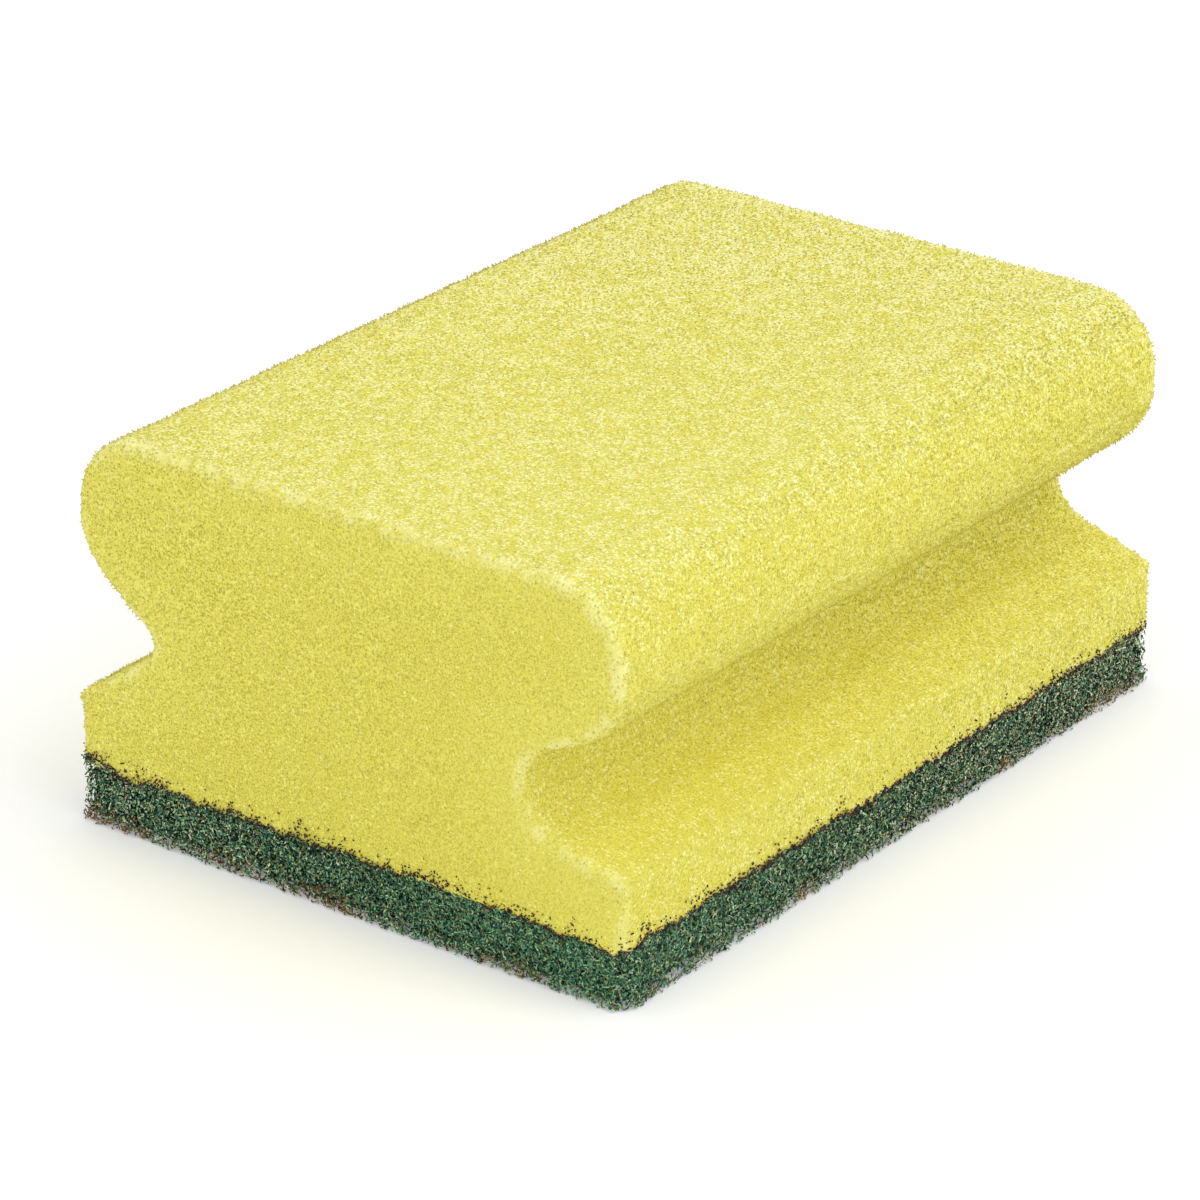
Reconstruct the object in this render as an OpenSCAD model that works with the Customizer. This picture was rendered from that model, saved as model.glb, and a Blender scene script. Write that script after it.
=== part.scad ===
// A dish sponge with a finger grip: a foam block cut to a mushroom section, bonded to a scouring pad.
// Millimetres, +Z up. The origin is the middle of the pad's underside, and the grip grooves run along Y.

/* [Sponge] */
// Length of the sponge, along its grip grooves
sponge_l = 95; // [50:1:160]
// Width of the sponge across its foot
sponge_w = 70; // [50:1:110]
// Height of the sponge, with its scouring pad
sponge_h = 44; // [35:0.5:70]

/* [Scouring pad] */
// Thickness of the scouring pad
pad_t = 6.5; // [3:0.5:10]

/* [Foam foot] */
// Height of the foot's upright sides, above the pad
foot_side_h = 7.5; // [3:0.5:12]
// Radius along the foot's upper edges
foot_edge_r = 0.8; // [0.2:0.1:2]

/* [Right grip groove] */
// Depth of the groove, from the foot's side to its deepest line
right_groove_depth = 12.2; // [8:0.1:15]
// Radius at the bottom of the groove
right_groove_r = 5.2; // [2:0.1:7]
// Slope of the foot's top, in degrees
right_foot_slope = 13; // [5:0.5:25]
// Slope of the head's underside, in degrees
right_under_slope = 23; // [10:0.5:30]
// Step from the foot's side in to the head's side
right_head_inset = 0.6; // [0:0.1:3]
// Radius under the head
right_under_r = 8.2; // [3:0.1:12]
// Radius along the head's top edge
right_top_r = 8; // [3:0.1:12]

/* [Left grip groove] */
// Depth of the groove, from the foot's side to its deepest line
left_groove_depth = 10.7; // [7:0.1:13]
// Radius at the bottom of the groove
left_groove_r = 2.3; // [1.5:0.1:5]
// Slope of the foot's top, in degrees
left_foot_slope = 34.5; // [15:0.5:45]
// Slope of the head's underside, in degrees
left_under_slope = 36.5; // [15:0.5:45]
// Step from the foot's side in to the head's side
left_head_inset = 1.6; // [0:0.1:3]
// Radius under the head
left_under_r = 9.2; // [3:0.1:12]
// Radius along the head's top edge
left_top_r = 8; // [3:0.1:12]

/* [Hidden] */

// Turn of each short side of an arc, in degrees
arc_step = 6;
// Height of the foot's upper edge
foot_top = pad_t + foot_side_h;

// Points of an arc about [x, z], from one angle to the other
function arc(x, z, r, from, to) =
    let (sides = ceil(abs(to - from) / arc_step))
    [for (i = [0:sides]) let (a = from + (to - from) * i / sides) [x + r * cos(a), z + r * sin(a)]];

// Edge of the foot, rounded between its upright side and its sloping top
function foot_edge(side_x, slope) =
    let (x = side_x - foot_edge_r)
    let (z = foot_top + foot_edge_r * tan(slope) - foot_edge_r / cos(slope))
    arc(x, z, foot_edge_r, 0, 90 - slope);

// Height of the groove's own centre, which makes the foot's top meet the foot's side at its edge
function groove_z(depth, r, slope) = foot_top + r / cos(slope) + (depth - r) * tan(slope);

// Round bottom of the groove, between the foot's top and the head's underside
function groove_bottom(side_x, depth, r, foot_slope, under_slope) =
    arc(side_x - depth + r, groove_z(depth, r, foot_slope), r, 270 - foot_slope, 90 + under_slope);

// Side of the head, rounded under it and along its top edge, as far as the head's height allows
function head_side(side_x, corner_z, under_r, top_r, slope) =
    let (under_reach = under_r * tan(45 - slope / 2))
    let (share = min(1, (sponge_h - corner_z) / (under_reach + top_r)))
    let (ru = under_r * share)
    let (rt = top_r * share)
    let (under_z = corner_z + ru * tan(45 - slope / 2))
    concat(
        arc(side_x - ru, under_z, ru, 270 + slope, 360),
        arc(side_x - rt, sponge_h - rt, rt, 0, 90)
    );

// Half of the foam's section, from the pad up to the top, for a groove of the given form
function half_section(depth, r, foot_slope, under_slope, inset, under_r, top_r) =
    let (foot_x = sponge_w / 2)
    let (head_x = foot_x - inset)
    let (reach = head_x - (foot_x - depth + r))
    let (corner_z = groove_z(depth, r, foot_slope) + r / cos(under_slope) + reach * tan(under_slope))
    concat(
        [[foot_x, pad_t]],
        foot_edge(foot_x, foot_slope),
        groove_bottom(foot_x, depth, r, foot_slope, under_slope),
        head_side(head_x, corner_z, under_r, top_r, under_slope)
    );

// Section of the foam, right half and then the left half back down
function foam_section() =
    let (right = half_section(right_groove_depth, right_groove_r, right_foot_slope,
        right_under_slope, right_head_inset, right_under_r, right_top_r))
    let (left = half_section(left_groove_depth, left_groove_r, left_foot_slope,
        left_under_slope, left_head_inset, left_under_r, left_top_r))
    concat(right, [for (i = [len(left) - 1:-1:0]) [-left[i][0], left[i][1]]]);

// The foam, one block cut along its whole length
module foam_body() {
    color([0.88, 0.84, 0.34])
        translate([0, sponge_l / 2, 0])
            rotate([90, 0, 0])
                linear_extrude(height = sponge_l)
                    polygon(foam_section());
}

// The scouring pad, one slab of matted fibre under the whole foam
module scour_pad() {
    color([0.13, 0.26, 0.2])
        translate([-sponge_w / 2, -sponge_l / 2, 0])
            cube([sponge_w, sponge_l, pad_t]);
}

foam_body();
scour_pad();
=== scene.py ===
import math
import random

import bmesh
import bpy
import numpy as np
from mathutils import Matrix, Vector, kdtree, noise


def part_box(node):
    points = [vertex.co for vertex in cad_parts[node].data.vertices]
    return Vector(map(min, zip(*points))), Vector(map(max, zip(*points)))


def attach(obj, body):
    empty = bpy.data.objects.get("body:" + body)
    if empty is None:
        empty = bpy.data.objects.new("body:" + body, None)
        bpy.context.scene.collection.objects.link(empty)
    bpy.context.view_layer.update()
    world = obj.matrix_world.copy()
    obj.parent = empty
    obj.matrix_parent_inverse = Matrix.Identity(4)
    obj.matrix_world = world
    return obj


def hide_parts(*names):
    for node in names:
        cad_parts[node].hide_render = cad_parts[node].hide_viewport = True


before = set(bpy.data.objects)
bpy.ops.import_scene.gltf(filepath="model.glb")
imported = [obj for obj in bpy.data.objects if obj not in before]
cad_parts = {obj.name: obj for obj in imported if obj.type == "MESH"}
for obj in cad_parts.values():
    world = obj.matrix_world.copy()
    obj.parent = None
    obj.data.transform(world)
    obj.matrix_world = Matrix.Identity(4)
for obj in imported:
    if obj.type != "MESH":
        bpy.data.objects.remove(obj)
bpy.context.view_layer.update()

MM = 0.001


# The scouring pad's heart. The real pad is a slab of nylon fibre, laid in every direction and bound with
# dark green resin, then cut to size. Deep inside, it is a dense mat with no light in it. The foam is
# bonded to its top face.
half_w, half_l, pad_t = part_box("scour_pad")[1]
corner_r = 1.6 * MM
corner_steps = 4
mat_inset = 0.55 * MM
mat_floor = 0.6 * MM
mat_voxel = 0.85 * MM
mat_lumps = ((5 * MM, 0.2 * MM), (1.3 * MM, 0.4 * MM))

# The resin's colours on a ramp from 0 to 1, from its darkest hollows to its palest tips
resin_ramp = (
    (0.28, (0.004, 0.011, 0.006)),
    (0.4, (0.018, 0.065, 0.042)),
    (0.56, (0.063, 0.195, 0.088)),
    (0.74, (0.195, 0.38, 0.175)),
    (0.9, (0.46, 0.53, 0.36)),
)
ramp_middle = 0.52
fibre_grains = 4600
navy_cast = (0.75, 0.8, 1.6)
rust_cast = (1.7, 0.85, 0.65)
brown_cast = (1.14, 1.01, 1.04)
stain_dark = (0.16, 0.06, 0.03)
stain_pale = (0.6, 0.42, 0.18)


def finished(name, mesh, material, node):
    """Puts a mesh into the scene as one finished piece of the sponge, in the place of a CAD node."""
    piece = bpy.data.objects.new(name, mesh)
    bpy.context.scene.collection.objects.link(piece)
    mesh.materials.clear()
    mesh.materials.append(material)
    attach(piece, "root")
    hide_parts(node)
    return piece


def voxelled(name, bm, voxel):
    """A closed mesh of even small faces over the shape in bm, which is freed."""
    rough = bpy.data.meshes.new(name + "_rough")
    bm.to_mesh(rough)
    bm.free()
    block = bpy.data.objects.new(name + "_rough", rough)
    bpy.context.scene.collection.objects.link(block)
    remesh = block.modifiers.new("even faces", "REMESH")
    remesh.mode = "VOXEL"
    remesh.voxel_size = voxel
    remesh.use_smooth_shade = True
    depsgraph = bpy.context.evaluated_depsgraph_get()
    mesh = bpy.data.meshes.new_from_object(block.evaluated_get(depsgraph))
    mesh.name = name
    bpy.data.objects.remove(block)
    bpy.data.meshes.remove(rough)
    return mesh


def lumpy(mesh, layers, seed, swell=0.0):
    """Moves each vertex out by swell and the sum of the layers, each a wavelength and a height."""
    shift = Vector((seed, 2 * seed, 3 * seed))
    moved = []
    for vertex in mesh.vertices:
        rise = swell + sum(height * noise.noise(vertex.co / wave + shift) for wave, height in layers)
        moved.append(vertex.co + vertex.normal * rise)
    mesh.vertices.foreach_set("co", [c for spot in moved for c in spot])
    mesh.update()


def granule_group():
    """Grains of a cut surface, each a Voronoi cell with two random numbers, and a speck in some cells."""
    group = bpy.data.node_groups.new("granules", "ShaderNodeTree")
    face = group.interface
    face.new_socket("Vector", in_out="INPUT", socket_type="NodeSocketVector")
    for label, value in (("Per metre", 3000.0), ("Share", 0.3), ("Radius", 0.35), ("Softness", 0.15)):
        face.new_socket(label, in_out="INPUT", socket_type="NodeSocketFloat").default_value = value
    for label in ("Speck", "Chance", "Shade"):
        face.new_socket(label, in_out="OUTPUT", socket_type="NodeSocketFloat")
    nodes, links = group.nodes, group.links
    given = nodes.new("NodeGroupInput")
    out = nodes.new("NodeGroupOutput")
    cells = nodes.new("ShaderNodeTexVoronoi")
    links.new(given.outputs["Vector"], cells.inputs["Vector"])
    links.new(given.outputs["Per metre"], cells.inputs["Scale"])
    chance = nodes.new("ShaderNodeSeparateColor")
    links.new(cells.outputs["Color"], chance.inputs["Color"])
    chosen = nodes.new("ShaderNodeMath")
    chosen.operation = "LESS_THAN"
    links.new(chance.outputs["Red"], chosen.inputs[0])
    links.new(given.outputs["Share"], chosen.inputs[1])
    rim = nodes.new("ShaderNodeMath")
    rim.operation = "ADD"
    links.new(given.outputs["Radius"], rim.inputs[0])
    links.new(given.outputs["Softness"], rim.inputs[1])
    inside = nodes.new("ShaderNodeMapRange")
    inside.interpolation_type = "SMOOTHSTEP"
    links.new(cells.outputs["Distance"], inside.inputs["Value"])
    links.new(rim.outputs["Value"], inside.inputs["From Min"])
    links.new(given.outputs["Radius"], inside.inputs["From Max"])
    both = nodes.new("ShaderNodeMath")
    both.operation = "MULTIPLY"
    links.new(chosen.outputs["Value"], both.inputs[0])
    links.new(inside.outputs["Result"], both.inputs[1])
    links.new(both.outputs["Value"], out.inputs["Speck"])
    links.new(chance.outputs["Green"], out.inputs["Chance"])
    links.new(chance.outputs["Blue"], out.inputs["Shade"])
    return group


granules = granule_group()


def add_granules(tree, vector, per_metre, share=0.3, radius=0.35, softness=0.15):
    """One layer of granules in a material, with its own values."""
    node = tree.nodes.new("ShaderNodeGroup")
    node.node_tree = granules
    tree.links.new(vector, node.inputs["Vector"])
    values = {"Per metre": per_metre, "Share": share, "Radius": radius, "Softness": softness}
    for label, value in values.items():
        if isinstance(value, (int, float)):
            node.inputs[label].default_value = value
        else:
            tree.links.new(value, node.inputs[label])
    return node.outputs


def new_material(name, roughness, specular):
    """A material with its Principled shader, its node tree and its Object coordinates."""
    material = bpy.data.materials.new(name)
    material.use_nodes = True
    tree = material.node_tree
    shader = tree.nodes["Principled BSDF"]
    shader.inputs["Roughness"].default_value = roughness
    shader.inputs["Specular IOR Level"].default_value = specular
    place = tree.nodes.new("ShaderNodeTexCoord").outputs["Object"]
    return material, tree, shader, place


def maths(tree, operation, a, b):
    """One Math node, whose inputs are sockets or numbers."""
    node = tree.nodes.new("ShaderNodeMath")
    node.operation = operation
    for slot, value in zip(node.inputs, (a, b)):
        if isinstance(value, (int, float)):
            slot.default_value = value
        else:
            tree.links.new(value, slot)
    return node.outputs["Value"]


def mixed(tree, amount, a, b, blend="MIX"):
    """A colour mix, whose inputs are sockets or colours."""
    node = tree.nodes.new("ShaderNodeMix")
    node.data_type = "RGBA"
    node.blend_type = blend
    for label, value in (("Factor_Float", amount), ("A_Color", a), ("B_Color", b)):
        slot = next(s for s in node.inputs if s.identifier == label)
        if isinstance(value, (int, float)):
            slot.default_value = value
        elif isinstance(value, tuple):
            slot.default_value = (*value, 1)
        else:
            tree.links.new(value, slot)
    return next(s for s in node.outputs if s.identifier == "Result_Color")


def ranged(tree, value, low, high, to_low=0.0, to_high=1.0):
    """A value mapped from one range to another, and held inside it."""
    node = tree.nodes.new("ShaderNodeMapRange")
    tree.links.new(value, node.inputs["Value"])
    for label, number in (("From Min", low), ("From Max", high), ("To Min", to_low), ("To Max", to_high)):
        node.inputs[label].default_value = number
    return node.outputs["Result"]


def clouds(tree, place, per_metre, detail):
    """A soft noise pattern."""
    node = tree.nodes.new("ShaderNodeTexNoise")
    node.inputs["Scale"].default_value = per_metre
    node.inputs["Detail"].default_value = detail
    tree.links.new(place, node.inputs["Vector"])
    return node.outputs["Fac"]


def surface_mark(tree, name):
    """A number that the mesh carries at each vertex."""
    node = tree.nodes.new("ShaderNodeAttribute")
    node.attribute_name = name
    return node.outputs["Fac"]


def far_share(tree, place, near=10 * MM, far=85 * MM):
    """0 nearer the sponge's front corner than near, and 1 beyond far, where the surface is crisper."""
    from_corner = tree.nodes.new("ShaderNodeVectorMath")
    from_corner.operation = "DISTANCE"
    tree.links.new(place, from_corner.inputs[0])
    from_corner.inputs[1].default_value = (half_w, -half_l, 0)
    return ranged(tree, from_corner.outputs["Value"], near, far)


def fibre_colour(name, lightness, stains):
    """Resin-coated fibre: a dark green that turns navy, rust or pale every fraction of a millimetre.

    Its lowest millimetres are stained brown in patches, as much as stains says.
    """
    material, tree, shader, place = new_material(name, roughness=0.6, specular=0.12)
    far = far_share(tree, place)
    grains = add_granules(tree, place, fibre_grains)
    by_grain = maths(tree, "MULTIPLY", grains["Chance"], 0.88)
    by_strand = maths(tree, "MULTIPLY", surface_mark(tree, "tint"), 0.12)
    shade = maths(tree, "SUBTRACT", maths(tree, "ADD", by_grain, by_strand), ramp_middle)
    shade = maths(tree, "MULTIPLY", shade, ranged(tree, far, 0, 1, 0.62, 1.4))
    shade = maths(tree, "ADD", shade, ranged(tree, far, 0, 0.4, 0.56, ramp_middle))
    ramp = tree.nodes.new("ShaderNodeValToRGB")
    tree.links.new(shade, ramp.inputs["Fac"])
    stops = ramp.color_ramp.elements
    stops[0].position = resin_ramp[0][0]
    stops[1].position = resin_ramp[-1][0]
    for at, _ in resin_ramp[1:-1]:
        stops.new(at)
    for stop, (_, colour) in zip(stops, resin_ramp):
        stop.color = (*(lightness * c for c in colour), 1)

    # Navy in some grains and rust in others, and a browner resin along the right side
    not_pale = ranged(tree, shade, 0.85, 0.7)
    navy = maths(tree, "MULTIPLY", ranged(tree, grains["Shade"], 0.7, 0.78, 0, 0.8), not_pale)
    colour = mixed(tree, navy, ramp.outputs["Color"], navy_cast, "MULTIPLY")
    rust = ranged(tree, grains["Shade"], 0.18, 0.1, 0, 0.7)
    colour = mixed(tree, rust, colour, rust_cast, "MULTIPLY")
    axes = tree.nodes.new("ShaderNodeSeparateXYZ")
    tree.links.new(place, axes.inputs["Vector"])
    on_right = ranged(tree, axes.outputs["X"], half_w - 2 * MM, half_w - 0.5 * MM)
    browner = maths(tree, "MULTIPLY", on_right, ranged(tree, far, 0.4, 1.0, 1.0, 0.3))
    colour = mixed(tree, browner, colour, brown_cast, "MULTIPLY")

    # Brown stains, thin along the bottom edge and thicker in patches
    edge = ranged(tree, axes.outputs["Z"], 1.5 * MM, 0.4 * MM, 0, 0.14 * stains)
    low = ranged(tree, axes.outputs["Z"], 3 * MM, 0.8 * MM, 0, 0.5 * stains)
    patches = maths(tree, "MULTIPLY", low, ranged(tree, clouds(tree, place, 140, 2), 0.5, 0.62))
    share = maths(tree, "ADD", maths(tree, "ADD", edge, patches), 0.03)
    stained = add_granules(tree, place, fibre_grains, share, 2.0)
    stain = mixed(tree, stained["Chance"], stain_dark, stain_pale)
    colour = mixed(tree, stained["Speck"], colour, stain)
    tree.links.new(colour, shader.inputs["Base Color"])
    return material


bm = bmesh.new()
bmesh.ops.create_cube(bm, size=1)
mat_size = (2 * (half_w - mat_inset), 2 * (half_l - mat_inset), pad_t - mat_floor)
bmesh.ops.scale(bm, vec=mat_size, verts=bm.verts)
bmesh.ops.translate(bm, vec=(0, 0, (pad_t + mat_floor) / 2), verts=bm.verts)
uprights = [e for e in bm.edges if abs(e.verts[0].co.z - e.verts[1].co.z) > MM]
bmesh.ops.bevel(bm, geom=uprights, offset=corner_r, segments=corner_steps, profile=0.5,
                affect="EDGES", material=-1)
mat_mesh = voxelled("scour_mat", bm, mat_voxel)
lumpy(mat_mesh, mat_lumps, 3)
for vertex in mat_mesh.vertices:
    vertex.co.z = min(vertex.co.z, pad_t)
# Painted shade: the mat's fibres are darker than the outer ones, for the shade deep inside the web
mat_material = fibre_colour("scouring mat, deep shade", 1.2, 0.1)
finished("scour_mat", mat_mesh, mat_material, "scour_pad")


# The pad's loose fibres, round its four cut sides. Each is a crimped nylon thread, under a fifth of a
# millimetre thick with its resin, that curls in and out of the web. Along the glue line some stand up over
# the foam, and along the bottom edge some hang out.
strand_sides = 3
outer_count = 9400
outer_r = 0.07 * MM
deep_count = 6600
deep_r = 0.09 * MM
hanging_share = 0.14
glue_waves = ((5 * MM, 0.5 * MM), (1.2 * MM, 0.7 * MM))
rng = random.Random(11)
rim_length = 4 * (half_w + half_l)


def on_rim(along, out):
    """The point at a length along the pad's outline, round its corners, and a distance outside it."""
    turn = corner_r * math.pi / 2
    straights = (2 * (half_l - corner_r), 2 * (half_w - corner_r)) * 2
    along %= sum(straights) + 4 * turn
    centre = Vector((half_w - corner_r, -half_l + corner_r))
    ahead = Vector((0, 1))
    for straight in straights:
        outward = Vector((ahead.y, -ahead.x))
        if along < straight:
            return centre + ahead * along + outward * (corner_r + out)
        along -= straight
        centre += ahead * straight
        if along < turn:
            angle = along / corner_r
            return centre + (outward * math.cos(angle) + ahead * math.sin(angle)) * (corner_r + out)
        along -= turn
        ahead = Vector((-ahead.y, ahead.x))


def glue_line(x, y):
    """How far the wavy line between foam and pad stands above or below its mean height."""
    spot = Vector((x, y, 0))
    return sum(height * noise.noise(spot / wave) for wave, height in glue_waves)


def threads(name, paths, marks):
    """A mesh of closed three-sided threads along paths of (x, y, z, radius), with each one's marks."""
    round_wire = bpy.data.curves.new(name + "_section", "CURVE")
    ring = round_wire.splines.new("POLY")
    ring.points.add(strand_sides - 1)
    ring.use_cyclic_u = True
    for i, point in enumerate(ring.points):
        angle = 2 * math.pi * i / strand_sides
        point.co = (math.cos(angle), math.sin(angle), 0, 1)
    section = bpy.data.objects.new(name + "_section", round_wire)
    curve = bpy.data.curves.new(name, "CURVE")
    curve.dimensions = "3D"
    curve.bevel_mode = "OBJECT"
    curve.bevel_object = section
    curve.use_fill_caps = True
    for path in paths:
        spline = curve.splines.new("POLY")
        spline.points.add(len(path) - 1)
        spline.points.foreach_set("co", [c for x, y, z, r in path for c in (x, y, z, 1)])
        spline.points.foreach_set("radius", [r for x, y, z, r in path])
    drawn = bpy.data.objects.new(name + "_curve", curve)
    for made in (section, drawn):
        bpy.context.scene.collection.objects.link(made)
    depsgraph = bpy.context.evaluated_depsgraph_get()
    mesh = bpy.data.meshes.new_from_object(drawn.evaluated_get(depsgraph))
    mesh.name = name
    for made in (section, drawn):
        bpy.data.objects.remove(made)
    count, length = len(paths), len(paths[0])
    numbers = np.arange(count)
    caps = np.repeat(numbers[::-1], 2 * strand_sides)
    owner = np.concatenate([caps, np.repeat(numbers, length * strand_sides)])
    for label, values in marks.items():
        mark = mesh.attributes.new(label, "FLOAT", "POINT")
        mark.data.foreach_set("value", np.asarray(values, np.float32)[owner])
    own_map(mesh, owner, count)
    bm = bmesh.new()
    bm.from_mesh(mesh)
    bmesh.ops.remove_doubles(bm, verts=bm.verts, dist=1e-7)
    bm.to_mesh(mesh)
    bm.free()
    return mesh


def own_map(mesh, owner, count):
    """Lays each thread's strip of the UV map in a square of its own, so a bake keeps its colours."""
    row = math.ceil(math.sqrt(count))
    layer = mesh.uv_layers[0]
    layer.name = "OFBake"
    uv = np.empty(2 * len(mesh.loops), np.float32)
    layer.uv.foreach_get("vector", uv)
    corner = np.empty(len(mesh.loops), np.int32)
    mesh.loops.foreach_get("vertex_index", corner)
    square = np.stack([owner[corner] % row, owner[corner] // row], 1)
    inset = 0.04
    uv = (square + inset + (1 - 2 * inset) * uv.reshape(-1, 2)) / row
    layer.uv.foreach_set("vector", uv.astype(np.float32).ravel())


def side_thread(reach, thick, points, steps):
    """One fibre in the web of the pad's cut sides, which wanders along, up and down, and in and out."""
    along = rng.uniform(0, rim_length)
    crest = pad_t + glue_line(*on_rim(along, 0)) + (0.1 + rng.expovariate(1) * 0.12) * MM
    foot = 0.1 * MM + 0.2 * MM * abs(noise.noise(Vector((along / (4 * MM), 9, 0))))
    z = rng.uniform(foot, crest)
    out = rng.uniform(*reach)
    if rng.random() < hanging_share:
        z = rng.uniform(foot, 1.1 * MM)
        out = reach[1] + rng.uniform(-0.2, 0.35) * MM
    heading = rng.uniform(0, 2 * math.pi)
    bend = rng.gauss(0, 0.5)
    lean = rng.gauss(0, 0.25)
    step = rng.uniform(*steps) * (0.6 if out > reach[1] else 1)
    radius = thick * rng.uniform(0.7, 1.3)
    path = []
    for _ in range(points):
        limit = max(0.2 * MM, out) if z > pad_t - 0.2 * MM else out
        path.append((*on_rim(along, limit), z, radius))
        heading += bend + rng.gauss(0, 0.5)
        along += step * math.cos(heading)
        z += step * math.sin(heading)
        out = min(out + step * lean, 0.7 * MM)
        if not foot < z < crest:
            z = min(max(z, foot), crest)
            heading = -heading
    return path


outer_reach = (-0.35 * MM, 0.3 * MM)
outer_steps = (0.13 * MM, 0.28 * MM)
outer = [side_thread(outer_reach, outer_r, 4, outer_steps) for _ in range(outer_count)]
outer_mesh = threads("scour_fibres_outer", outer, {"tint": [rng.random() for _ in outer]})
outer_material = fibre_colour("scouring fibre, outer", 1.9, 1)
finished("scour_fibres_outer", outer_mesh, outer_material, "scour_pad")
deep_reach = (-0.8 * MM, 0.1 * MM)
deep_steps = (0.25 * MM, 0.5 * MM)
deep = [side_thread(deep_reach, deep_r, 5, deep_steps) for _ in range(deep_count)]
deep_mesh = threads("scour_fibres_deep", deep, {"tint": [rng.random() for _ in deep]})
deep_material = fibre_colour("scouring fibre, deep", 1.9, 1)
finished("scour_fibres_deep", deep_mesh, deep_material, "scour_pad")


# The pad's scouring face, underneath. The same fibres lie flat here, pressed by the floor, and every
# crossing is bonded with resin, which leaves an open web with dark holes.
sole_count = 3700
sole_r = 0.1 * MM
sole_edge = 0.5 * MM


def sole_thread(points=8):
    """One fibre of the web that lies across the pad's underside."""
    x = rng.uniform(sole_edge - half_w, half_w - sole_edge)
    y = rng.uniform(sole_edge - half_l, half_l - sole_edge)
    heading = rng.uniform(0, 2 * math.pi)
    bend = rng.gauss(0, 0.22)
    step = rng.uniform(0.7, 1.3) * MM
    radius = sole_r * rng.uniform(0.75, 1.3)
    z = radius + rng.uniform(0, 0.6) * MM
    path = []
    for _ in range(points):
        path.append((x, y, z, radius))
        heading += bend + rng.gauss(0, 0.2)
        if abs(x + step * math.cos(heading)) > half_w - sole_edge:
            heading = math.pi - heading
        if abs(y + step * math.sin(heading)) > half_l - sole_edge:
            heading = -heading
        x += step * math.cos(heading)
        y += step * math.sin(heading)
        z = max(radius, min(z + rng.gauss(0, 0.1) * MM, 0.9 * MM))
    return path


sole = [sole_thread() for _ in range(sole_count)]
sole_mesh = threads("scour_fibres_sole", sole, {"tint": [rng.random() for _ in sole]})
sole_material = fibre_colour("scouring fibre, sole", 1.6, 0.1)
finished("scour_fibres_sole", sole_mesh, sole_material, "scour_pad")


# Crumbs of fibre and dried glue along the joint. They cling to the lowest millimetre and a half of the
# foam's cut sides, fewer the higher up.
crumb_count = 5200
crumb_scatter = 0.48 * MM
crumb_reach = 2.4 * MM
glue_black = (0.02, 0.01, 0.02)
glue_green = (0.03, 0.04, 0.035)
glue_maroon = (0.2, 0.07, 0.07)


def crumb():
    """One crumb: a short dark grain that lies against the foam just above the glue line."""
    along = rng.uniform(0, rim_length)
    scatter = crumb_scatter * (1 + noise.noise(Vector((along / (2.5 * MM), 5, 0))))
    z = pad_t + glue_line(*on_rim(along, 0)) + min(rng.expovariate(1) * scatter, crumb_reach)
    size = rng.uniform(0.06, 0.12) * MM
    heading = rng.uniform(0, math.pi)
    length = rng.uniform(0.5, 1.5) * size
    ends = []
    for side in (-1, 1):
        x, y = on_rim(along + side * length * math.cos(heading), rng.uniform(0.22, 0.42) * MM)
        ends.append((x, y, z + side * length * math.sin(heading), size * rng.uniform(0.7, 1)))
    return ends


def crumb_colour():
    """Dried glue and fibre dust: maroon-black to dark green."""
    material, tree, shader, place = new_material("joint crumbs", roughness=0.7, specular=0.2)
    grains = add_granules(tree, place, 2600)
    dark = mixed(tree, grains["Chance"], glue_black, glue_green)
    colour = mixed(tree, ranged(tree, surface_mark(tree, "tint"), 0.4, 0.9), dark, glue_maroon)
    tree.links.new(colour, shader.inputs["Base Color"])
    return material


crumbs = [crumb() for _ in range(crumb_count)]
crumb_mesh = threads("joint_crumbs", crumbs, {"tint": [rng.random() for _ in crumbs]})
finished("joint_crumbs", crumb_mesh, crumb_colour(), "scour_pad")


# The foam. The real one is a single block of open-cell polyurethane foam, cut to its mushroom section by a
# shaped blade and then to length. The cut cells make a fine grain of pale walls and dark pores, and the
# ends' rims are soft and catch the light.
rim_r = 0.6 * MM
foot_edge = 14.1 * MM
groove_mid = 20 * MM
foam_voxel = 0.55 * MM
foam_lumps = ((24 * MM, 0.2 * MM), (6 * MM, 0.1 * MM), (1.2 * MM, 0.1 * MM))
foam_swell = 0.27 * MM
touching = 0.01 * MM

bm = bmesh.new()
bm.from_mesh(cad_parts["foam_body"].data)
bmesh.ops.remove_doubles(bm, verts=bm.verts, dist=1e-6)
bmesh.ops.dissolve_limit(bm, angle_limit=math.radians(1), verts=bm.verts, edges=bm.edges)


def is_rim(edge):
    """Whether an edge runs round one of the foam's two ends, above the glue line."""
    at_end = all(abs(v.co.y) > half_l - touching for v in edge.verts)
    one_end = edge.verts[0].co.y * edge.verts[1].co.y > 0
    on_glue = all(v.co.z < pad_t + touching for v in edge.verts)
    by_side = any(abs(f.normal.y) < 0.5 for f in edge.link_faces)
    return at_end and one_end and by_side and not on_glue


rims = [e for e in bm.edges if is_rim(e)]
rim_points = []
for edge in rims:
    a, b = (v.co for v in edge.verts)
    pieces = max(1, math.ceil((a - b).length / (0.5 * MM)))
    rim_points += [a.lerp(b, i / pieces) for i in range(pieces)]
rim_tree = kdtree.KDTree(len(rim_points))
for i, point in enumerate(rim_points):
    rim_tree.insert(point, i)
rim_tree.balance()


def is_corner(edge):
    """Whether an edge of a rim is one of the foot's four upright corners."""
    return all(v.co.z < foot_edge and abs(v.co.x) > half_w - touching for v in edge.verts)


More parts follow.
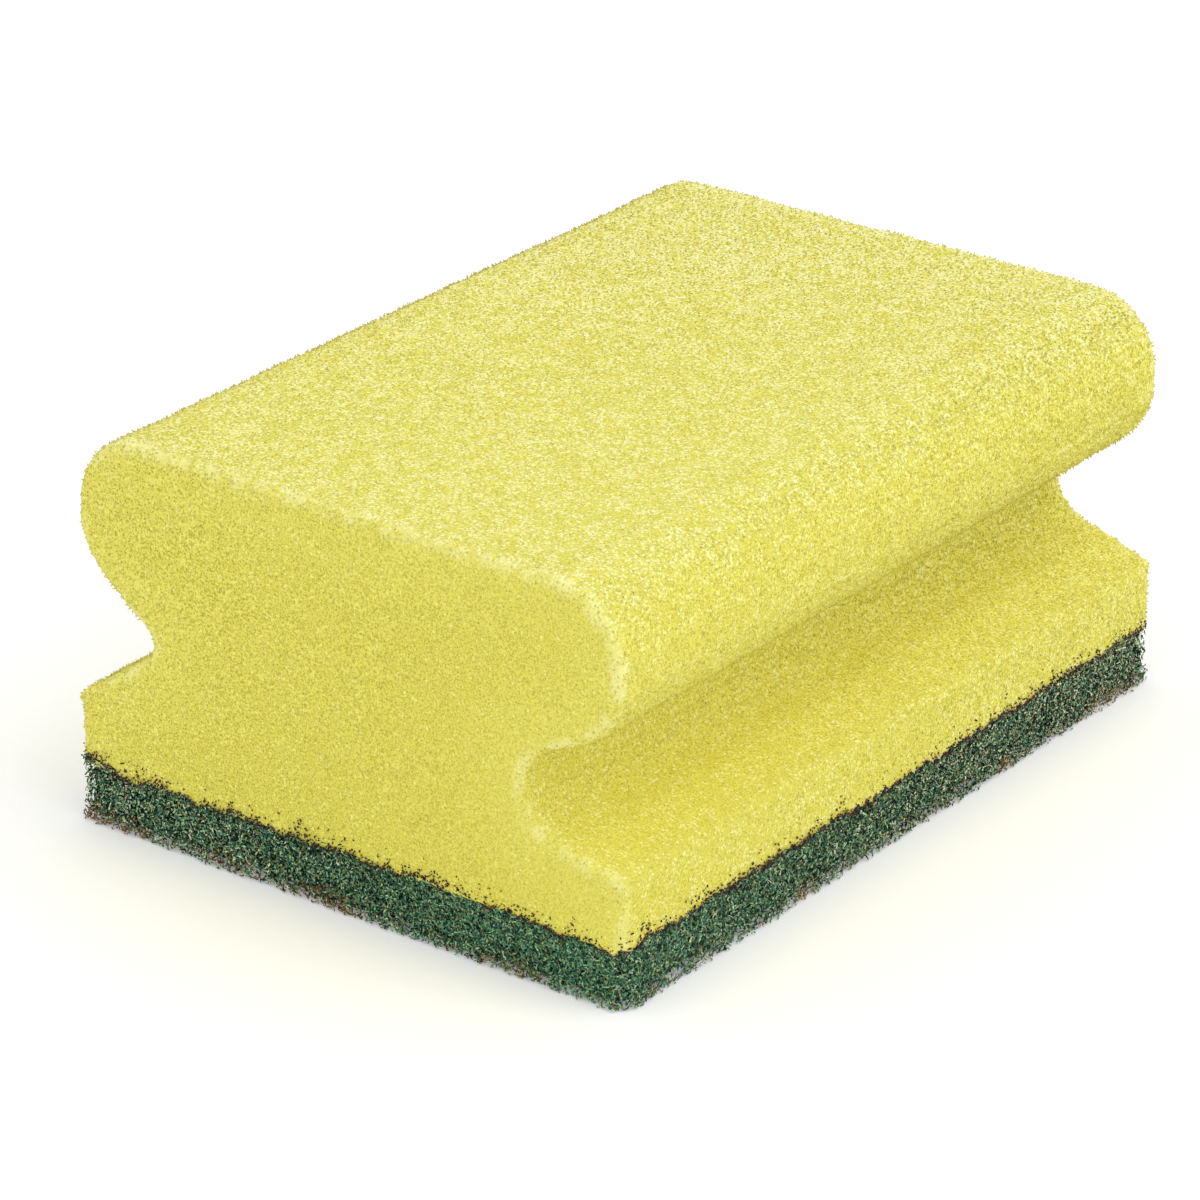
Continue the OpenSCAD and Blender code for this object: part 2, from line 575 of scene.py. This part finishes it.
corners = [e for e in rims if is_corner(e)]
rims = [e for e in rims if e not in corners]
bmesh.ops.bevel(bm, geom=corners, offset=corner_r, segments=corner_steps, profile=0.5,
                affect="EDGES", material=-1)
rims = [e for e in rims if e.is_valid]
bmesh.ops.bevel(bm, geom=rims, offset=rim_r, segments=3, profile=0.5, affect="EDGES", material=-1)
foam_mesh = voxelled("foam_block", bm, foam_voxel)


def smooth_step(value, low, high):
    """0 at low and 1 at high, with a soft start and end, whichever of the two is larger."""
    share = min(max((value - low) / (high - low), 0), 1)
    return share * share * (3 - 2 * share)


# Marks for the materials: the top, the sides, the ends' rims, the band beside a rim, where a glow is
# painted, and the foot's edge, where shade is painted
foam_marks = {"crown": [], "side": [], "near_rim": [], "margin_glow": [], "ledge_shade": []}
for vertex in foam_mesh.vertices:
    place = vertex.co
    endways = abs(vertex.normal.y)
    from_rim = rim_tree.find(place)[2]
    high = smooth_step(place.z, 30 * MM, 42 * MM)
    side = smooth_step(endways, 0.6, 0.2)
    in_groove = smooth_step(abs(place.z - groove_mid), 6 * MM, 2 * MM) * smooth_step(endways, 0.9, 0.6)
    hidden = max(in_groove, smooth_step(place.x, -26 * MM, -33 * MM))
    from_ledge = math.hypot(abs(place.x) - half_w, place.z - foot_edge)
    foam_marks["crown"].append(high * smooth_step(vertex.normal.z, 0.3, 0.95))
    foam_marks["side"].append(side)
    foam_marks["near_rim"].append(smooth_step(from_rim, 1.5 * MM, 0.2 * MM) * (1 - 0.7 * hidden))
    foam_marks["margin_glow"].append(smooth_step(from_rim, 11 * MM, 1 * MM) * (1 - side))
    # The foot's edge mark, for painted shade that dims the lamp's bright line there
    foam_marks["ledge_shade"].append(smooth_step(from_ledge, 2.2 * MM, 0.3 * MM))
for label, values in foam_marks.items():
    mark = foam_mesh.attributes.new(label, "FLOAT", "POINT")
    mark.data.foreach_set("value", values)
lumpy(foam_mesh, foam_lumps, 5, foam_swell)


bed_rise = 0.6 * MM
roof_drop = 1.6 * MM


def drifted(place):
    """The blade wandered as it cut: towards the far end the right groove closes a little."""
    far = (place.y + half_l) / (2 * half_l)
    right = smooth_step(place.x, 12 * MM, 22 * MM)
    roof = smooth_step(place.x, 30.5 * MM, 25 * MM) * smooth_step(place.z, 21 * MM, 23.5 * MM)
    roof *= smooth_step(place.z, 36 * MM, 27 * MM)
    bed = smooth_step(place.x, 34.5 * MM, 27.5 * MM) * smooth_step(place.z, 20.5 * MM, 18 * MM)
    bed *= smooth_step(place.z, 8 * MM, 14 * MM)
    return far * right * (bed_rise * bed - roof_drop * roof)


for vertex in foam_mesh.vertices:
    place = vertex.co
    line = glue_line(place.x, place.y)
    lower = smooth_step(place.z, pad_t + 1.5 * MM, pad_t) * min(0, line)
    place.z = max(place.z + drifted(place) + lower, pad_t + min(0, line))


# The foam's lemon yellows, each on the sides and ends and then on the crown: its hollows, partly painted
# shade;
# its cut surface, painted darker on the crown as painted shade; and its palest walls, partly painted
# glints, which are yellower still on the ends
# The grain's hollows: partly the foam's own deeper tone, partly painted shade in them
hollow_shade_sides, hollow_shade_crown = (0.4, 0.345, 0.035), (0.42, 0.38, 0.045)
# Painted shade: the crown's cut surface is darker than the sides', to even out the extra light on top
cut_sides, cut_crown_painted_shade = (0.96, 0.89, 0.15), (0.87, 0.815, 0.15)
# The flecks' colours: partly the pale cut walls' own colour, partly painted glints, whitest on the crown
# where the light falls from above
pale_glint_ends, pale_glint_sides, pale_glint_crown = (1.0, 0.965, 0.27), (1.0, 0.97, 0.38), (1.0, 0.98, 0.5)
pale_glint_far_crown = (1.0, 0.99, 0.57)
grain_yellow = (0.86, 0.79, 0.14)
near_yellow = (0.79, 0.72, 0.11)
# Painted light: the end faces grow paler towards their rims, a painted glow of light coming through the
# thin foam
margin_glow_yellow = (0.96, 0.9, 0.19)
# Painted shade along the foot's long edges, which dims the bright line the lamp leaves there
ledge_shade_yellow = (0.68, 0.62, 0.09)
# Painted light: a pale band on the ends' rims, a painted glow where light scatters through the soft edges
rim_glow_yellow = (1.0, 0.97, 0.39)
# Pale clusters: partly the cut walls, partly painted glints
cluster_glint_yellow = (1.0, 0.97, 0.42)
# Painted shade inside the open pores
pore_shade_olive = (0.38, 0.335, 0.025)


def foam_colour():
    """Lemon foam: a fine grain, pale cut walls on top and along the rims, and small pores; the pale walls
    are partly painted glints and glow, and painted shade darkens the hollows, the pores, the crown's cut
    surface and the foot's edge.
    """
    material, tree, shader, place = new_material("lemon foam", roughness=0.9, specular=0.07)
    crown = surface_mark(tree, "crown")
    side = surface_mark(tree, "side")
    blotches = ranged(tree, clouds(tree, place, 420, 2), 0.4, 0.6, 0.15, 1.0)
    # The rims' blotchy band, where a glow is painted
    rim = maths(tree, "MULTIPLY", surface_mark(tree, "near_rim"), blotches)
    far = far_share(tree, place)
    farthest = maths(tree, "MULTIPLY", crown, far_share(tree, place, 78 * MM, 100 * MM))

    # The cut surface, calmer at the front corner, darker in its hollows, partly painted shade, lighter
    # beside and on the rims with a painted glow, and darker along the foot's edge with painted shade
    fine = clouds(tree, place, 4800, 2)
    # Darker where the grain's bump is low: partly its own tone, partly painted shade in the hollows
    hollow = mixed(tree, crown, hollow_shade_sides, hollow_shade_crown)
    # The crown's cut surface carries painted shade against the extra light on top
    cut = mixed(tree, crown, cut_sides, cut_crown_painted_shade)
    tint = mixed(tree, ranged(tree, fine, 0.31, 0.6), hollow, cut)
    grains = add_granules(tree, place, 4400)
    tint = mixed(tree, ranged(tree, grains["Chance"], 0, 1, 0, 0.4), tint, grain_yellow)
    tint = mixed(tree, ranged(tree, far, 0, 0.8, 0.4, 0.0), tint, near_yellow)
    # Painted light: a glow painted on the end faces towards their rims
    tint = mixed(tree, maths(tree, "MULTIPLY", surface_mark(tree, "margin_glow"), 0.22), tint, margin_glow_yellow)
    # Painted shade: darker along the foot's edge, against the lamp's bright line there
    tint = mixed(tree, maths(tree, "MULTIPLY", surface_mark(tree, "ledge_shade"), 0.35), tint, ledge_shade_yellow)
    # Painted light: the glow painted on the rims
    tint = mixed(tree, maths(tree, "MULTIPLY", rim, 0.62), tint, rim_glow_yellow)

    # Pores, painted shade in the open cells, deeper and more of them away from the front corner
    pores = add_granules(tree, place, 3200, ranged(tree, far, 0, 1, 0.15, 0.36), 0.2, 0.3)
    depth = ranged(tree, far, 0, 1, 0.05, 0.95)
    depth = maths(tree, "SUBTRACT", depth, maths(tree, "MULTIPLY", crown, 0.4))
    depth = maths(tree, "SUBTRACT", depth, maths(tree, "MULTIPLY", side, 0.2))
    depth = maths(tree, "ADD", depth, maths(tree, "MULTIPLY", farthest, 0.5))
    depth = maths(tree, "MAXIMUM", depth, 0)
    tint = mixed(tree, maths(tree, "MULTIPLY", pores["Speck"], depth), tint, pore_shade_olive)

    # Pale flecks in loose clusters, most of them on top, on the sides and along the rims: partly the pale
    # cut walls, partly painted glints where the light falls
    clusters = ranged(tree, clouds(tree, place, 620, 1), 0.38, 0.64, 0.55, 1.5)
    share = maths(tree, "ADD", maths(tree, "MULTIPLY", crown, 0.2), maths(tree, "MULTIPLY", side, 0.2))
    share = maths(tree, "ADD", share, maths(tree, "MULTIPLY", far, 0.18))
    share = maths(tree, "ADD", share, maths(tree, "ADD", maths(tree, "MULTIPLY", rim, 0.6), 0.06))
    share = maths(tree, "MULTIPLY", share, clusters)
    share = maths(tree, "ADD", share, maths(tree, "MULTIPLY", farthest, 0.14))
    tint = mixed(tree, maths(tree, "MULTIPLY", share, 0.14), tint, cluster_glint_yellow)
    flecks = add_granules(tree, place, 2900, share, 0.38, 0.22)
    fleck_glint_amount = maths(tree, "MULTIPLY", flecks["Speck"], ranged(tree, flecks["Chance"], 0, 1, 0.5, 1.0))
    # The flecks' colour: partly pale walls, partly painted glints, whitest on the crown
    palest = mixed(tree, maths(tree, "MAXIMUM", side, rim), pale_glint_ends, pale_glint_sides)
    palest = mixed(tree, crown, palest, pale_glint_crown)
    palest = mixed(tree, farthest, palest, pale_glint_far_crown)
    tint = mixed(tree, fleck_glint_amount, tint, palest)
    tree.links.new(tint, shader.inputs["Base Color"])

    relief = maths(tree, "SUBTRACT", maths(tree, "ADD", fine, flecks["Speck"]), pores["Speck"])
    bump = tree.nodes.new("ShaderNodeBump")
    bump.inputs["Strength"].default_value = 0.3
    bump.inputs["Distance"].default_value = 0.06 * MM
    tree.links.new(relief, bump.inputs["Height"])
    tree.links.new(bump.outputs["Normal"], shader.inputs["Normal"])
    return material


finished("foam_block", foam_mesh, foam_colour(), "foam_body")


# The foam's cut cell walls. Where the blade opened a cell, its walls stand up from the surface as short
# stiff whiskers, which make every edge and outline of the foam look crumbly. They are part of the block.
whisker_count = 48000
whisker_length = (0.26 * MM, 0.4 * MM)
whisker_r = (0.1 * MM, 0.19 * MM)
whisker_tip_r = 1e-5 * MM
whisker_sink = 0.08 * MM
# The third is painted light: the walls on the crown are paler
wall_deep, wall_bright, wall_lit_crown = (0.84, 0.76, 0.1), (0.98, 0.92, 0.2), (1.0, 0.95, 0.34)
# Painted light: walls that stand up are paler, as if catching the light from above
upright_lit_sides, upright_lit_crown = (1.0, 0.96, 0.32), (1.0, 0.97, 0.42)
# Painted shade for the walls far back on the crown
wall_shaded = (0.63, 0.565, 0.045)


def wall_colour():
    """Standing cell walls: the foam's yellows, paler on the crown and where they stand up, which is painted
    light, and darker far back on the crown, which is painted shade.
    """
    material, tree, shader, place = new_material("lemon foam, cell walls", roughness=0.9, specular=0.07)
    crown = surface_mark(tree, "crown")
    grains = add_granules(tree, place, 2600)
    tint = mixed(tree, grains["Chance"], wall_deep, wall_bright)
    # Painted light: walls on the crown are paler
    tint = mixed(tree, maths(tree, "MULTIPLY", crown, 0.4), tint, wall_lit_crown)
    stands = ranged(tree, surface_mark(tree, "upright"), 0.35, 0.75)
    # Painted light on the walls that stand up
    pale = maths(tree, "MULTIPLY", stands, ranged(tree, grains["Shade"], 0.45, 0.6))
    tint = mixed(tree, pale, tint, mixed(tree, crown, upright_lit_sides, upright_lit_crown))
    far = far_share(tree, place, 20 * MM, 100 * MM)
    # Painted shade: walls far back on the crown darken, except near the rims
    shaded = maths(tree, "MULTIPLY", ranged(tree, crown, 0.3, 0.95), far)
    off_rim = ranged(tree, surface_mark(tree, "near_rim"), 0, 1, 0.85, 0)
    tint = mixed(tree, maths(tree, "MULTIPLY", shaded, off_rim), tint, wall_shaded)
    tree.links.new(tint, shader.inputs["Base Color"])
    return material


def whisker(vertex):
    """One cell wall: a short spike that leans any way out of the surface, near a vertex of the block."""
    lean = Vector([rng.gauss(0, 1) for _ in range(3)]).normalized()
    aside = vertex.normal.cross(Vector([rng.gauss(0, 1) for _ in range(3)])).normalized()
    out = (vertex.normal * 1.1 + lean).normalized()
    root = vertex.co - vertex.normal * whisker_sink + aside * rng.uniform(0, 0.3) * MM
    bent = foam_marks["side"][vertex.index] * smooth_step(1 - abs(vertex.normal.z), 0.05, 0.2)
    exposed = max(0.6 * foam_marks["near_rim"][vertex.index], bent)
    from_corner = math.dist(root, (half_w, -half_l, 0))
    coarse = 0.72 + 0.24 * smooth_step(from_corner, 10 * MM, 85 * MM)
    tip = root + out * rng.uniform(*whisker_length) * (1 + 0.6 * exposed) * coarse
    return ((*root, rng.uniform(*whisker_r) * coarse), (*tip, whisker_tip_r))


grown = [v for v in foam_mesh.vertices if v.co.z > pad_t + 0.3 * MM]
grown = rng.sample(grown, whisker_count)
whisker_marks = {label: [foam_marks[label][v.index] for v in grown] for label in ("crown", "near_rim")}
whiskers = [whisker(v) for v in grown]
whisker_marks["upright"] = [(tip[2] - root[2]) / math.dist(tip[:3], root[:3]) for root, tip in whiskers]
whisker_mesh = threads("foam_cell_walls", whiskers, whisker_marks)
finished("foam_cell_walls", whisker_mesh, wall_colour(), "foam_body")


# The setting: a plain white floor under soft, even studio light, and the photograph's camera.
def seen_direct(tree):
    """1 for what the camera sees, directly or in a gloss or glass, and 0 for light that falls on things."""
    path = tree.nodes.new("ShaderNodeLightPath")
    mirrored = maths(tree, "MAXIMUM", path.outputs["Is Glossy Ray"], path.outputs["Is Transmission Ray"])
    return maths(tree, "MAXIMUM", path.outputs["Is Camera Ray"], mirrored)


floor_gap = 0.02 * MM
floor_glow = 0.2
sky_level = 0.9
floor_mesh = bpy.data.meshes.new("floor")
bm = bmesh.new()
bmesh.ops.create_grid(bm, x_segments=1, y_segments=1, size=3)
bmesh.ops.translate(bm, vec=(0, 0, -floor_gap), verts=bm.verts)
bm.to_mesh(floor_mesh)
bm.free()
floor = bpy.data.objects.new("floor", floor_mesh)
bpy.context.scene.collection.objects.link(floor)
floor_material = bpy.data.materials.new("white floor")
floor_material.use_nodes = True
tree = floor_material.node_tree
shader = tree.nodes["Principled BSDF"]
shader.inputs["Base Color"].default_value = (0.9, 0.9, 0.9, 1)
shader.inputs["Roughness"].default_value = 1
shader.inputs["Specular IOR Level"].default_value = 0
shader.inputs["Emission Color"].default_value = (1, 1, 1, 1)
tree.links.new(maths(tree, "MULTIPLY", seen_direct(tree), floor_glow), shader.inputs["Emission Strength"])
floor_mesh.materials.append(floor_material)

world = bpy.data.worlds.new("studio")
bpy.context.scene.world = world
world.use_nodes = True
tree = world.node_tree
sky = tree.nodes["Background"]
tree.links.new(maths(tree, "MAXIMUM", seen_direct(tree), sky_level), sky.inputs["Strength"])
sky.inputs["Color"].default_value = (1, 1, 1, 1)


def soft_lamp(name, place, aim, size, watts):
    """A square soft box at one place, turned to another."""
    lamp = bpy.data.lights.new(name, "AREA")
    lamp.size = size
    lamp.energy = watts
    stand = bpy.data.objects.new(name, lamp)
    stand.location = place
    stand.rotation_euler = (Vector(aim) - Vector(place)).to_track_quat("-Z", "Y").to_euler()
    bpy.context.scene.collection.objects.link(stand)


soft_lamp("key", place=(0.66, 0.11, 1.01), aim=(0, 0, 0.02), size=0.8, watts=2.9)

# The photograph's camera, solved from the sponge's corners and outline in its 1200 pixels
sensor = 36
photo_pixels = 1200
focal_pixels = 5556.91
target = Vector((0, 0, 20 * MM))
azimuth = math.radians(36.83)
elevation = math.radians(24.31)
distance = 583.21 * MM
aim_left = 3.016 * MM
aim_down = 2.687 * MM
level = Vector((math.sin(azimuth), -math.cos(azimuth), 0))
away = level * math.cos(elevation) + Vector((0, 0, math.sin(elevation)))
right = Vector((math.cos(azimuth), math.sin(azimuth), 0))
up = away.cross(right)
aim = target - right * aim_left - up * aim_down
camera_data = bpy.data.cameras.new("camera")
camera_data.sensor_width = sensor
camera_data.lens = sensor * focal_pixels / photo_pixels
camera_data.clip_start = 0.05
camera_data.clip_end = 20
camera = bpy.data.objects.new("camera", camera_data)
camera.location = target + away * distance
camera.rotation_euler = (aim - camera.location).to_track_quat("-Z", "Y").to_euler()
bpy.context.scene.collection.objects.link(camera)
bpy.context.scene.camera = camera
bpy.context.scene.view_settings.view_transform = "Standard"
